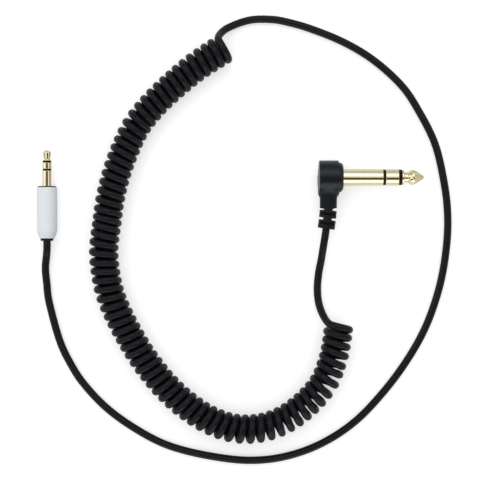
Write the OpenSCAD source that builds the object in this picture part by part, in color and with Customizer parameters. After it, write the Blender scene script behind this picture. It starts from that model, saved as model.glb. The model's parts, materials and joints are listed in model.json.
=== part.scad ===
// Curly instrument cable: a right-angle 6.35 mm stereo jack at one end, a
// straight 3.5 mm stereo plug at the other, and a cord between them that is
// curled for most of its length.
//
// The cable lies on the plane z = 0, with +Z up. The origin is on that plane,
// midway between the two plugs. The jack's contacts point along +X and the
// small plug's contacts along +Y. All sizes are in millimetres.

/* [Cord] */
// Outer diameter of the cord's jacket
cord_d = 2.85; // [2.4:0.05:3]
// Wall of the jacket around the cores
jacket_wall = 0.45; // [0.35:0.05:0.5]
// Diameter of each of the three insulated cores
core_d = 0.8; // [0.5:0.05:0.8]

/* [Curly cord] */
// Outer diameter of the curls
coil_d = 11.4; // [10:0.1:12.5]
// Whole curls between the two leads
coil_turns = 73; // [60:1:75]
// How far the first curl leans along the axis
start_lean = 0.3; // [0:0.05:0.4]
// How much wider in radius the first curl is than the rest
start_loose = 0.3; // [0:0.05:0.4]
// Curls over which that lean and that extra radius fade away
loose_turns = 10; // [4:1:20]
// How far the curls in the bend near the jack lean back above their outer side
bend_lean = 1; // [0:0.05:1.2]
// Curls from where that lean is greatest to the last one, and over which it fades
lean_turns = 9; // [6:1:15]

/* [Jack contacts] */
// Diameter of the jack's sleeve, ring and tip
jack_d = 6.35; // [6.2:0.05:6.5]
// Length of the sleeve in front of the housing
jack_sleeve_l = 15.3; // [14.5:0.1:16.5]
// Length of the insulator between sleeve and ring
jack_band_l = 1; // [0.8:0.05:1.2]
// Length of the ring
jack_ring_l = 5; // [4.5:0.1:5.5]
// Length of the insulator between ring and tip
jack_tip_band_l = 1.25; // [1:0.05:1.5]
// Length of the tip, from its insulator to its end
jack_tip_l = 8.4; // [7.9:0.05:8.6]
// Diameter of the insulators where they show
jack_insulator_d = 5.9; // [5.7:0.05:6]
// Diameter of the rod that carries the tip
jack_rod_d = 1.9; // [1.6:0.1:2.1]
// Wall of the insulating and conducting tubes inside the sleeve
jack_tube_wall = 0.4; // [0.3:0.05:0.45]
// Diameter of the tip's bulb
jack_bulb_d = 5.9; // [5.8:0.05:6.1]
// From the back of the tip to the middle of its bulb
jack_bulb_back = 4.4; // [4:0.1:4.8]
// Diameter of the waist behind the bulb
jack_waist_d = 4; // [3.8:0.1:4.4]

/* [Jack housing] */
// Diameter of the round head, which lies on the plane
head_d = 13; // [12.6:0.1:14]
// From the neck's axis to the flat rim of the head's back
head_back = 3.55; // [3.2:0.05:4.5]
// How far the back bulges out beyond its rim
dome_h = 0.45; // [0.4:0.05:1.2]
// From the neck's axis to the front of the head
head_front = 3.9; // [3.8:0.1:5]
// Diameter of the stepped collar in front of the head
nose_d = 11.4; // [10.8:0.1:11.6]
// Length of the stepped collar
nose_l = 1.8; // [1.7:0.1:2.2]
// Rounding of the collar's rim
nose_round = 1.5; // [0.6:0.1:1.6]
// Wall of the outer moulding around the inner one
housing_wall = 1; // [0.8:0.05:1]
// Diameter of the neck
neck_d = 6.6; // [6.3:0.05:6.8]
// From the jack's axis to the end of the neck
neck_l = 11.9; // [11.7:0.1:13]
// Wall of the neck's outer moulding
neck_wall = 0.6; // [0.5:0.05:0.65]

/* [Strain relief] */
// Diameter of the relief's rings
relief_d = 6.6; // [6.2:0.1:6.8]
// Number of slots, with a ring after each
relief_slots = 4; // [3:1:6]
// Width of each slot
slot_w = 0.85; // [0.6:0.05:1]
// Thickness of each ring
relief_ring_t = 1; // [0.8:0.05:1.3]
// Thickness of the last ring
relief_end_t = 1.5; // [1.2:0.1:2]
// Width of the bars that join the rings
relief_bar_w = 3.1; // [1.6:0.1:3.2]
// How far the relief leans at its first slot
relief_kink = 5; // [0:0.5:8]
// How far it bends over the rest of its length
relief_bend = 3; // [1:0.5:8]

/* [Small plug contacts] */
// Diameter of the small plug's contacts
mini_d = 3.5; // [3.4:0.02:3.56]
// Length of the sleeve in front of the barrel
mini_sleeve_l = 6; // [5.6:0.1:6.4]
// Length of the insulator between sleeve and ring
mini_band_l = 0.7; // [0.6:0.05:0.8]
// Length of the ring
mini_ring_l = 2.4; // [2.1:0.1:2.6]
// Length of the insulator between ring and tip
mini_tip_band_l = 0.75; // [0.6:0.05:0.8]
// Length of the tip, from its insulator to its end
mini_tip_l = 4.15; // [4:0.05:4.3]
// Diameter of the insulators where they show
mini_insulator_d = 3.16; // [3.1:0.02:3.18]
// Diameter of the rod that carries the tip
mini_rod_d = 0.8; // [0.7:0.05:0.9]
// Wall of the insulating and conducting tubes inside the sleeve
mini_tube_wall = 0.2; // [0.15:0.01:0.22]
// Diameter of the waist behind the tip's bulb
mini_waist_d = 2.3; // [2:0.05:2.6]

/* [Small plug barrel] */
// Diameter of the barrel, which lies on the plane
barrel_d = 7.9; // [7.7:0.1:8.6]
// Length of the barrel with its taper
barrel_l = 19.7; // [19.2:0.1:22]
// Length of the tapered end
taper_l = 2.7; // [2:0.1:2.8]
// Diameter at the end of the taper
taper_d = 5.8; // [5.5:0.1:6.2]
// Wall of the barrel
barrel_wall = 0.8; // [0.6:0.05:0.85]
// Rounding of the barrel's front rim
barrel_round = 0.4; // [0.2:0.05:0.45]
// Diameter of the dark washer on the barrel's front
washer_d = 7.2; // [6.8:0.1:7.3]
// Thickness of that washer
washer_t = 0.45; // [0.3:0.05:0.6]
// Diameter of the collar where the cord comes out
collar_d = 5; // [4.7:0.1:5.4]
// Length of the collar outside the barrel
collar_l = 0.95; // [0.7:0.05:1.4]
// Wall of the collar's spigot around the cord
spigot_wall = 0.5; // [0.4:0.05:0.6]

/* [Hidden] */
$fn = 64;

// Radial clearance between pieces that sit in one another
fit = 0.03;
mini_fit = 0.02;

// ---- The places where the cord leaves its two plugs ----
jack_exit = [37.1, -12.7];
mini_exit = [-70.6, -17.4];

// ---- Routes, as hand-chosen points ----
// Height of the axis of a cord that lies on the plane
lie = cord_d / 2;
// Straight run of the cord out of a plug
run_out = 3;

// Long lead, from the small plug round to the curly cord
long_route = [
    [-71, -23.5, 2.6], [-71.5, -28, 1.7], [-71, -34, lie], [-70, -41.5, lie],
    [-66, -56, lie], [-61.5, -65.5, lie], [-56.5, -73, lie], [-48, -82, lie],
    [-37, -90, lie], [-24.5, -96.5, lie], [-9.5, -100.5, lie], [7, -102.5, lie],
    [21.5, -101, lie], [35.5, -96, lie], [48.5, -87.5, lie], [60, -75.5, lie],
    [69.5, -62.5, lie], [76.5, -49.5, lie], [81.5, -34.5, lie], [84, -20, lie],
    [84.5, -7, lie], [83, 6, lie], [79.5, 20.5, lie], [73, 33.5, lie],
    [66.5, 43, lie], [56, 52.5, lie], [44.5, 59.5, lie], [31, 65, lie],
    [20, 68, lie], [14, 68.6, lie], [12.5, 68.6, lie]
];

// Climb of the cord from the end of the long lead to the first curl
climb_route = [
    [12.5, 68.6, lie], [11, 68.6, lie], [8, 68.3, lie], [4.5, 67.4, lie], [1, 66, 1.7],
    [-1.6, 64.5, 3], [-3.4, 62.7, 5], [-4.3, 60.9, 7.3]
];

// Axis of the curls, seen from above
coil_route = [
    [-1.9, 56.9], [-12.5, 50], [-20.5, 43.5], [-28.5, 36], [-35.5, 27.5],
    [-40, 18.5], [-43.5, 9], [-46, -1], [-47.2, -9.5], [-48.5, -20],
    [-48, -28.5], [-46, -38], [-42, -47.5], [-36.5, -57.5], [-31.5, -65],
    [-25, -73], [-17.5, -80], [-8.5, -86], [1.5, -89.5], [11.5, -89.5],
    [20.5, -86.5], [29, -80.5], [36, -72.5], [39.5, -64], [41, -57.5],
    [42, -50]
];

// Descent of the cord from the last curl to the end of the short lead
drop_route = [
    [37.4, -48.4, 6.6], [36, -46, 4.2], [35, -43.4, 2.3], [34.4, -41, lie], [34, -38, lie]
];

// Short lead, from the curly cord to the jack
short_route = [
    [34, -38, lie], [34, -34.5, lie], [34.5, -29.5, 1.7], [35.4, -24.5, 3.2], [36.1, -19.5, 5.4]
];

// ---- Curly cord ----
coil_r = coil_d / 2 - cord_d / 2;
rings_per_curl = 8;
// The cord joins the first curl above its outer side, and leaves the last one over
// its top, on the inner side
coil_entry_angle = 45;
coil_exit_angle = 135;
axis_steps = 16;

// ---- Stations along the jack's axis, from the front face of its housing ----
jack_wall = 1.2;
jack_flange_t = 1;
jack_flange_d = 8.4;
jack_lug_t = 0.4;
jack_washer_t = 0.6;
jack_radii = stack_radii(jack_rod_d / 2, jack_tube_wall, fit);
jack_back = back_stations(jack_wall, jack_flange_t, jack_lug_t, jack_washer_t);
jack_front = front_stations(jack_sleeve_l, jack_band_l, jack_ring_l, jack_tip_band_l, jack_tip_l);

// ---- Stations along the small plug's axis, from its front washer's face ----
mini_flange_t = 1;
mini_lug_t = 0.3;
mini_washer_t = 0.4;
mini_radii = stack_radii(mini_rod_d / 2, mini_tube_wall, mini_fit);
mini_back = back_stations(washer_t, mini_flange_t, mini_lug_t, mini_washer_t);
mini_front = front_stations(mini_sleeve_l, mini_band_l, mini_ring_l, mini_tip_band_l, mini_tip_l);

// Radii of the nested tubes: rod, tip insulation, ring tube, ring insulation
function stack_radii(rod, wall, gap) = [
    rod, rod + gap + wall, rod + 2 * (gap + wall), rod + 3 * (gap + wall)
];
// Front ends of the sleeve, its insulator, the ring, its insulator and the tip
function front_stations(sleeve, band, ring, tip_band, tip) = [
    sleeve, sleeve + band, sleeve + band + ring,
    sleeve + band + ring + tip_band, sleeve + band + ring + tip_band + tip
];
// Places behind the front wall: flange, sleeve lug, insulator, ring lug,
// back washer, tip lug, and the back of the tip lug
function back_stations(wall, flange, lug, washer) = [
    -wall, -wall - flange, -wall - flange - lug, -wall - flange - lug - washer,
    -wall - flange - 2 * lug - washer, -wall - flange - 2 * lug - 2 * washer,
    -wall - flange - 3 * lug - 2 * washer
];

// ---- Jack housing ----
head_r = head_d / 2;
neck_r = neck_d / 2;
mould_r = head_r - housing_wall;
neck_mould_r = neck_r - neck_wall;
back_wall = 0.8;
relief_spigot_l = 1.2;
mould_end = neck_l - relief_spigot_l;
// Jacket inside the neck, the bare rim of it before the crimp, and the crimp's length
jack_jacket_l = 4.3;
jack_crimp_rim = 0.6;
jack_crimp_l = 1;
// Where the jacket is cut back, and where it is crimped, from the jack's axis
jack_cut = neck_l - jack_jacket_l;
jack_crimp = [jack_cut + jack_crimp_rim, jack_cut + jack_crimp_rim + jack_crimp_l];
crimp_wall = 0.47;
bare_depth = 3;

// ---- Strain relief: a straight half slot, then an arc ----
relief_l = relief_slots * slot_w + (relief_slots - 1) * relief_ring_t + relief_end_t;
arc_l = relief_l - slot_w / 2;
arc_r = arc_l / relief_bend * 180 / PI;
kink_y = -neck_l - slot_w / 2;
relief_spigot_r = neck_mould_r - 0.3;
cord_bore_r = cord_d / 2 + fit;

// Jack's own frame: its axis crosses the neck's axis at the origin
exit_offset = [0, kink_y] + turned([-arc_r * (1 - cos(relief_bend)), -arc_r * sin(relief_bend)], -relief_kink);
jack_pos = [jack_exit[0] - exit_offset[0], jack_exit[1] - exit_offset[1], head_r];
exit_dir = turned([0, -1], -relief_kink - relief_bend);
shoulder = head_front + nose_l;

// ---- Small plug ----
barrel_r = barrel_d / 2;
barrel_bore_r = barrel_r - barrel_wall;
mini_body_l = washer_t + barrel_l + collar_l;
mini_pos = [mini_exit[0], mini_exit[1] + mini_body_l, barrel_r];
spigot_r = cord_d / 2 + fit + spigot_wall;
spigot_l = 3.1;
mini_cut = 8;
mini_crimp = [8.5, 9.5];
mini_mould_end = washer_t + barrel_l - spigot_l;

function turned(v, a) = [v[0] * cos(a) - v[1] * sin(a), v[0] * sin(a) + v[1] * cos(a)];
function unit(v) = v / norm(v);
function last(list) = list[len(list) - 1];

// ---- Smooth curve through the points of a route ----
function at_end(p, i) =
    i < 0 ? 2 * p[0] - p[1] :
    i >= len(p) ? 2 * p[len(p) - 1] - p[len(p) - 2] :
    p[i];
function between(a, b, c, d, t) =
    0.5 * (2 * b + (c - a) * t + (2 * a - 5 * b + 4 * c - d) * t * t
        + (3 * b - a - 3 * c + d) * t * t * t);
function curve_at(p, u) =
    let (i = min(floor(u), len(p) - 2))
    between(at_end(p, i - 1), at_end(p, i), at_end(p, i + 1), at_end(p, i + 2), u - i);

// Lengths along a list of points, from its start
function lengths(p) = [
    for (i = 0, l = 0; i < len(p); l = l + norm(p[min(i + 1, len(p) - 1)] - p[i]), i = i + 1) l
];

// Points a given step apart along a route
function spaced(route, step) =
    let (
        n = (len(route) - 1) * axis_steps,
        fine = [for (i = [0:n]) curve_at(route, i / axis_steps)],
        run = lengths(fine),
        table = [for (i = [0:n]) [run[i], i / axis_steps]],
        count = ceil(last(run) / step)
    )
    [for (k = [0:count]) curve_at(route, lookup(last(run) * k / count, table))];

// ---- Tube along a list of points ----
// Each ring is square to the tube, with a corner turned towards its reference
function directions(p) = [
    for (i = [0:len(p) - 1]) unit(p[min(i + 1, len(p) - 1)] - p[max(i - 1, 0)])
];
function ring_points(c, dir, ref, r, sides, turn) =
    let (a = unit(ref - (ref * dir) * dir), b = cross(dir, a))
    [for (k = [0:sides - 1]) let (w = 360 * (k + turn) / sides) c + r * (cos(w) * a + sin(w) * b)];
function tube_faces(rings, sides) = concat(
    [for (i = [0:rings - 2], k = [0:sides - 1])
        let (a = i * sides + k, b = i * sides + (k + 1) % sides) [a, a + sides, b]],
    [for (i = [0:rings - 2], k = [0:sides - 1])
        let (a = i * sides + k, b = i * sides + (k + 1) % sides) [b, a + sides, b + sides]],
    [for (k = [1:sides - 2]) [0, k, k + 1]],
    [for (k = [1:sides - 2]) let (z = (rings - 1) * sides) [z, z + k + 1, z + k]]
);
// The first and last rings are square to the directions given for the two ends
function tube_directions(p, ends) =
    let (d = directions(p))
    [for (i = [0:len(p) - 1]) i == 0 ? unit(ends[0]) : i == len(p) - 1 ? unit(ends[1]) : d[i]];
module tube(p, ends, refs, r, sides, turn) {
    dirs = tube_directions(p, ends);
    points = [for (i = [0:len(p) - 1]) each ring_points(p[i], dirs[i], refs[i], r, sides, turn)];
    polyhedron(points, tube_faces(len(p), sides));
}

// A lead is an eight-sided tube with flats above and below
lead_sides = 8;
lead_step = 2.5 * cord_d;
short_step = 1.2 * cord_d;
module lead(route, ends, step) {
    p = spaced(route, step);
    dirs = tube_directions(p, ends);
    tube(p, ends, [for (d = dirs) cross(d, [0, 0, 1])], cord_d / 2, lead_sides, 0.5);
}

// ---- Curls ----
// The curls are packed evenly along the inner side of their axis
axis_n = (len(coil_route) - 1) * axis_steps;
axis_fine = [for (i = [0:axis_n]) curve_at(coil_route, i / axis_steps)];
axis_dirs = directions(axis_fine);
function right_of(d) = [d[1], -d[0]];
inner_side = [for (i = [0:axis_n]) axis_fine[i] - coil_r * right_of(axis_dirs[i])];
inner_run = lengths(inner_side);
inner_table = [for (i = [0:axis_n]) [inner_run[i], i]];
full_turn = 360;
curl_step = full_turn / rings_per_curl;
coil_angle = full_turn * coil_turns + coil_exit_angle;
coil_rings = coil_angle / curl_step;

// Place and outward direction on the curls, at an angle from their start: from
// the outer side over the top to the inner side
function curl_out(angle, side) = [cos(angle) * side[0], cos(angle) * side[1], sin(angle)];
function curl_at(angle) =
    let (
        f = lookup(last(inner_run) * angle / coil_angle, inner_table),
        i = min(floor(f), axis_n - 1),
        way = unit(axis_dirs[i] + (f - i) * (axis_dirs[i + 1] - axis_dirs[i])),
        loose = max(0, 1 - angle / (full_turn * loose_turns)),
        bent = 1 - min(1, abs((coil_angle - angle) / full_turn / lean_turns - 1)),
        back = bend_lean * pow(sin(90 * bent), 2) * sin(angle) * (1 + cos(angle)) / 2,
        lean = start_lean * loose * cos(angle) - back,
        c = axis_fine[i] + (f - i) * (axis_fine[i + 1] - axis_fine[i]) + lean * way,
        r = coil_r + start_loose * loose,
        out = curl_out(angle, right_of(way))
    )
    [[c[0], c[1], r + cord_d / 2] + r * out, out];
curls = [for (k = [coil_entry_angle / curl_step:coil_rings]) curl_at(k * curl_step)];
curly_path = concat(climb_route, [for (c = curls) c[0]], drop_route);
curly_refs = concat(
    [for (p = climb_route) curls[0][1]],
    [for (c = curls) c[1]],
    [for (p = drop_route) [0, 0, 1]]
);
curly_sides = 6;

// Directions of the cord where the leads meet the curly cord
climb_dir = climb_route[1] - climb_route[0];
drop_dir = last(drop_route) - drop_route[len(drop_route) - 2];
curly_ends = [climb_dir, drop_dir];

// Least distance between the corners of neighbouring curls
function least_gap() =
    let (
        dirs = tube_directions(curly_path, curly_ends),
        n = len(curly_path),
        rings = [for (i = [0:n - 1])
            ring_points(curly_path[i], dirs[i], curly_refs[i], cord_d / 2, curly_sides, 0)]
    )
    min([for (i = [0:n - 1]) for (j = [i + rings_per_curl - 3:min(i + rings_per_curl + 3, n - 1)])
        for (a = rings[i]) for (b = rings[j]) norm(a - b)]);

// ---- Shapes along a plug's own axis, +X ----
module disc(r, from, to) {
    translate([from, 0, 0]) rotate([0, 90, 0]) cylinder(r = r, h = to - from);
}
module revolved(profile) {
    rotate([0, 90, 0]) rotate_extrude() polygon(profile);
}
// A contact or insulator: a head that shows, and a stem inside the next tube
module headed_tube(head_r, head, stem_r, stem_end, bore_r) {
    difference() {
        union() {
            disc(head_r, head[0], head[1]);
            disc(stem_r, stem_end, head[0]);
        }
        disc(bore_r, stem_end - 1, head[1] + 1);
    }
}
module washer(r, bore_r, from, to) {
    difference() {
        disc(r, from, to);
        disc(bore_r, from - 1, to + 1);
    }
}
// An insulated core along a route
module core(route) {
    p = spaced(route, 1.2 * core_d);
    ends = [p[1] - p[0], last(p) - p[len(p) - 2]];
    tube(p, ends, [for (q = p) [0, 0, 1]], core_r, 6, 0.5);
}
// A box from one corner to the other
module box(a, b) {
    translate(a) cube(b - a);
}

module at_jack() {
    translate(jack_pos) children();
}
module at_jack_contacts() {
    at_jack() translate([shoulder, 0, 0]) children();
}
module at_mini() {
    translate(mini_pos) rotate([0, 0, 90]) children();
}

// ---- Contacts, which both plugs share ----
// The sleeve steps in where it goes into its housing
sleeve_step = 0.2;
module sleeve(d, radii, front, back, flange_d, gap) {
    difference() {
        union() {
            disc(d / 2, 0, front[0]);
            disc(d / 2 - sleeve_step, back[1], 0);
            disc(flange_d / 2, back[1], back[0]);
        }
        disc(radii[3] + gap, back[1] - 1, front[0] + 1);
    }
}
module ring_insulator(d, radii, front, back, gap) {
    headed_tube(d / 2, [front[0], front[1]], radii[3], back[2], radii[2] + gap);
}
module ring(d, radii, front, back, gap) {
    headed_tube(d / 2, [front[1], front[2]], radii[2], back[4], radii[1] + gap);
}
module tip_insulator(d, radii, front, back, gap) {
    headed_tube(d / 2, [front[2], front[3]], radii[1], back[4], radii[0] + gap);
}
module tip_rod(radii, front, back, rivet_r, rivet_t) {
    disc(radii[0], back[6] - rivet_t, front[3] + 0.5);
    disc(rivet_r, back[6] - rivet_t, back[6]);
}

// ---- Jack ----
jack_rivet_t = 0.5;
module jack_tip() {
    base = jack_front[3];
    end = jack_front[4];
    waist_r = jack_waist_d / 2;
    bulb_r = jack_bulb_d / 2;
    collar_r = 2.85;
    end_r = 0.6;
    end_round = 0.45;
    collar_end = base + 0.7;
    waist = base + 1;
    bulb = base + jack_bulb_back;
    bulb_start = asin(waist_r / bulb_r);
    bulb_end = 96;
    color("gold") at_jack_contacts() {
        revolved(concat(
            [[0, base], [collar_r, base], [collar_r, collar_end], [waist_r, waist]],
            [for (k = [0:9]) let (a = bulb_start + (bulb_end - bulb_start) * k / 9)
                [bulb_r * sin(a), bulb - bulb_r * cos(a)]],
            [for (a = [0:15:90]) [end_r - end_round * (1 - cos(a)), end - end_round * (1 - sin(a))]],
            [[0, end]]
        ));
        tip_rod(jack_radii, jack_front, jack_back, 1.35, jack_rivet_t);
    }
}
module jack_tip_insulator() {
    color("black") at_jack_contacts() tip_insulator(jack_insulator_d, jack_radii, jack_front, jack_back, fit);
}
module jack_ring() {
    color("gold") at_jack_contacts() ring(jack_d, jack_radii, jack_front, jack_back, fit);
}
module jack_ring_insulator() {
    color("black") at_jack_contacts() ring_insulator(jack_insulator_d, jack_radii, jack_front, jack_back, fit);
}
module jack_sleeve() {
    color("gold") at_jack_contacts() sleeve(jack_d, jack_radii, jack_front, jack_back, jack_flange_d, fit);
}

// Lugs: washers on the tubes, with tabs down towards the neck. The tabs lie on
// either side of the sleeve lug's strap, which grips the cord
tab_w = 1.3;
tab_z = 1;
tab_end = -4.2;
strap_w = 0.7;
strap_t = 0.35;
strap_y = -4.6;
module jack_rear_insulator() {
    color("white") at_jack_contacts() washer(3, jack_radii[2] + fit, jack_back[3], jack_back[2]);
}
module jack_back_washer() {
    color("white") at_jack_contacts() washer(2.2, jack_radii[0] + fit, jack_back[5], jack_back[4]);
}
module tabbed_lug(r, bore_r, station, z) {
    difference() {
        union() {
            disc(r, station[0], station[1]);
            box([station[0], tab_end, z - tab_w / 2], [station[1], -r / 2, z + tab_w / 2]);
        }
        disc(bore_r, station[0] - 1, station[1] + 1);
    }
}
module jack_ring_lug() {
    color("silver") at_jack_contacts()
        tabbed_lug(2.5, jack_radii[2] + fit, [jack_back[4], jack_back[3]], -tab_z);
}
module jack_tip_lug() {
    color("silver") at_jack_contacts()
        tabbed_lug(1.9, jack_radii[0] + fit, [jack_back[6], jack_back[5]], tab_z);
}
crimp_r = cord_d / 2 + fit + crimp_wall;
module jack_sleeve_lug() {
    lug = [shoulder + jack_back[2], shoulder + jack_back[1]];
    strap_x = crimp_r - crimp_wall + 0.05;
    color("silver") at_jack() {
        translate([shoulder, 0, 0]) washer(3.4, jack_radii[3] + fit, jack_back[2], jack_back[1]);
        box([lug[0], strap_y, -strap_w / 2], [lug[1], -3, strap_w / 2]);
        box([strap_x, strap_y - strap_t, -strap_w / 2], [lug[1], strap_y, strap_w / 2]);
        box([strap_x, -jack_crimp[1], -strap_w / 2], [strap_x + strap_t, strap_y, strap_w / 2]);
        rotate([90, 0, 0]) difference() {
            translate([0, 0, jack_crimp[0]]) cylinder(r = crimp_r, h = jack_crimp[1] - jack_crimp[0]);
            cylinder(r = crimp_r - crimp_wall, h = 2 * jack_crimp[1]);
        }
    }
}

// Cores: side by side in the jacket, then spread out to their lugs
core_r = core_d / 2;
core_offset = core_r * 1.2;
core_gap = fit;
jack_bare = -jack_cut - bare_depth + 0.3;
module jack_core_tip() {
    x = shoulder + jack_back[6] - core_r - core_gap;
    color("white") at_jack() core([
        [-core_offset / 2, jack_bare, core_offset * 0.87], [-core_offset / 2, -jack_cut, core_offset * 0.87],
        [x, tab_end - 0.4, tab_z], [x, tab_end + 1.2, tab_z]
    ]);
}
module jack_core_ring() {
    x = shoulder + jack_back[4] - core_r - core_gap;
    color("red") at_jack() core([
        [-core_offset / 2, jack_bare, -core_offset * 0.87], [-core_offset / 2, -jack_cut, -core_offset * 0.87],
        [x, tab_end - 0.4, -tab_z], [x, tab_end + 1.2, -tab_z]
    ]);
}
module jack_core_ground() {
    x = crimp_r - crimp_wall + 0.05 - core_r - core_gap;
    color("green") at_jack() core([
        [core_offset, jack_bare, 0], [core_offset, -jack_cut, 0],
        [x, -jack_cut + 0.7, 0], [x, -jack_cut + 1.7, 0]
    ]);
}

// Inner moulding: it holds the contacts, with a well for the soldered ends
well_z = 1.75;
well_back = -0.9;
well_end = strap_y - strap_t - 0.1;
module jack_inner_mould() {
    front = shoulder + jack_back[1];
    stack_back = shoulder + jack_back[6] - jack_rivet_t - fit;
    color("dimgray") at_jack() difference() {
        union() {
            disc(mould_r, -head_back + back_wall, front);
            rotate([90, 0, 0]) cylinder(r = neck_mould_r, h = mould_end);
        }
        disc(3.4 + fit, stack_back, front + 1);
        box([well_back, well_end, -well_z], [front + 1, 0, well_z]);
        rotate([90, 0, 0]) cylinder(r = neck_mould_r - 0.35, h = jack_cut + fit);
        rotate([90, 0, 0]) cylinder(r = crimp_r + fit, h = jack_crimp[1] + fit);
        rotate([90, 0, 0]) cylinder(r = cord_bore_r, h = mould_end + 1);
    }
}

// Outer moulding: a domed head, a stepped nose and the neck
blend_shift = 0.8;
blend_w = 1.05;
blend_top = head_r - 1.5;
blend_end = head_r + 0.8;
dome_steps = 8;
module jack_housing() {
    rim = nose_d / 2;
    front = head_front + nose_l;
    color([0.13, 0.13, 0.14]) at_jack() difference() {
        union() {
            revolved(concat(
                [for (k = [0:dome_steps]) let (r = head_r * k / dome_steps)
                    [r, -head_back - dome_h * (1 - pow(k / dome_steps, 2))]],
                [[head_r, head_front], [rim, head_front]],
                [for (a = [0:15:90])
                    [rim - nose_round * (1 - cos(a)), front - nose_round * (1 - sin(a))]],
                [[0, front]]
            ));
            rotate([90, 0, 0]) cylinder(r = neck_r, h = neck_l);
            // The neck widens smoothly into the head
            hull() {
                translate([blend_shift, -blend_top, 0]) rotate([90, 0, 0])
                    cylinder(r = neck_r + blend_w, h = 0.1, $fn = 32);
                translate([0, -blend_end, 0]) rotate([90, 0, 0])
                    cylinder(r = neck_r - 0.07, h = 0.1, $fn = 32);
            }
        }
        disc(mould_r + fit, -head_back + back_wall - fit, shoulder + jack_back[1]);
        disc(jack_flange_d / 2 + fit, shoulder + jack_back[1] - 0.5, shoulder + jack_back[0]);
        disc(jack_d / 2 - sleeve_step + fit, 0, shoulder + 1);
        rotate([90, 0, 0]) cylinder(r = neck_mould_r + fit, h = mould_end);
        rotate([90, 0, 0]) cylinder(r = relief_spigot_r + fit, h = neck_l + 1);
    }
}

// ---- Strain relief and the cord inside it ----
// A point on the relief's bent axis, a distance from the middle of its first
// slot, and the way that the axis points there
function relief_lean(d) = relief_kink + max(d, 0) / arc_l * relief_bend;
function relief_at(d) =
    let (w = max(d, 0) / arc_l * relief_bend)
    [0, kink_y] + turned([-arc_r * (1 - cos(w)), -arc_r * sin(w)], -relief_kink);
module at_relief(d) {
    at = relief_at(d);
    translate([at[0], at[1], 0]) rotate([0, 0, -relief_lean(d)]) rotate([90, 0, 0]) children();
}
// The cord's path through the housing and the relief, and on beyond its end
tail_steps = 6;
function tail_path(from, beyond) = concat(
    [[0, from, 0], [0, kink_y + 1, 0]],
    [for (k = [0:tail_steps]) let (q = relief_at(arc_l * k / tail_steps)) [q[0], q[1], 0]],
    beyond > 0 ? [let (q = relief_at(arc_l) + beyond * exit_dir) [q[0], q[1], 0]] : []
);
module tail_tube(from, beyond, r) {
    p = tail_path(from, beyond);
    tube(p, [[0, -1, 0], [exit_dir[0], exit_dir[1], 0]], [for (q = p) [0, 0, 1]], r, 16, 0.5);
}
// Slots go in from the sides and from above and below by turns, and leave bars
relief_pitch = slot_w + relief_ring_t;
bar_sink = 0.2;
bar_h = 2 * sqrt(pow(relief_d / 2 - 0.05, 2) - pow(relief_bar_w / 2, 2));
// A bar's box, from one distance to another below the place where it is put
module bar(slot, from, to) {
    w = slot % 2 == 0 ? relief_bar_w : bar_h;
    h = slot % 2 == 0 ? bar_h : relief_bar_w;
    translate([-w / 2, -h / 2, from]) cube([w, h, to - from]);
}
module strain_relief() {
    color([0.13, 0.13, 0.14]) at_jack() difference() {
        union() {
            // The spigot sits in the neck's end, and the first bars start there
            translate([0, -mould_end, 0]) rotate([90, 0, 0])
                cylinder(r = relief_spigot_r, h = relief_spigot_l + bar_sink);
            translate([0, -neck_l, 0]) rotate([90, 0, 0]) bar(0, 0, slot_w + bar_sink);
            for (k = [1:relief_slots - 1])
                at_relief(k * relief_pitch) bar(k, -slot_w / 2 - bar_sink, slot_w / 2 + bar_sink);
            for (k = [0:relief_slots - 1]) {
                thick = k == relief_slots - 1 ? relief_end_t : relief_ring_t;
                at_relief(slot_w / 2 + k * relief_pitch + thick / 2)
                    translate([0, 0, -thick / 2]) cylinder(d = relief_d, h = thick);
            }
        }
        tail_tube(0, 1, cord_bore_r);
    }
}
module jack_cord_tail() {
    color([0.12, 0.12, 0.13]) at_jack() difference() {
        tail_tube(-jack_cut, 0, cord_d / 2);
        rotate([90, 0, 0]) cylinder(r = cord_d / 2 - jacket_wall, h = jack_cut + bare_depth);
    }
}

// ---- Small plug ----
mini_rivet_t = 0.35;
module mini_tip() {
    base = mini_front[3];
    end = mini_front[4];
    r = mini_d / 2;
    waist_r = mini_waist_d / 2;
    nose_r = 0.55;
    color("gold") at_mini() {
        revolved(concat(
            [[0, base], [r - 0.1, base], [r - 0.1, base + 0.2], [waist_r, base + 0.5], [r - 0.02, base + 2.9]],
            [for (a = [0:15:90]) [nose_r + (r - nose_r) * cos(a), base + 3.1 + (end - base - 3.1) * sin(a)]],
            [[0, end]]
        ));
        tip_rod(mini_radii, mini_front, mini_back, 0.75, mini_rivet_t);
    }
}
module mini_tip_insulator() {
    color("black") at_mini() tip_insulator(mini_insulator_d, mini_radii, mini_front, mini_back, mini_fit);
}
module mini_ring() {
    color("gold") at_mini() ring(mini_d, mini_radii, mini_front, mini_back, mini_fit);
}
module mini_ring_insulator() {
    color("black") at_mini() ring_insulator(mini_insulator_d, mini_radii, mini_front, mini_back, mini_fit);
}
module mini_sleeve() {
    color("gold") at_mini()
        sleeve(mini_d, mini_radii, mini_front, mini_back, 2 * (barrel_bore_r - mini_fit), mini_fit);
}
module mini_front_washer() {
    color([0.2, 0.2, 0.2]) at_mini() washer(washer_d / 2, mini_d / 2 - sleeve_step + mini_fit, -washer_t, 0);
}
module mini_rear_insulator() {
    color("white") at_mini() washer(2, mini_radii[2] + mini_fit, mini_back[3], mini_back[2]);
}
module mini_back_washer() {
    color("white") at_mini() washer(1.3, mini_radii[0] + mini_fit, mini_back[5], mini_back[4]);
}

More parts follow.
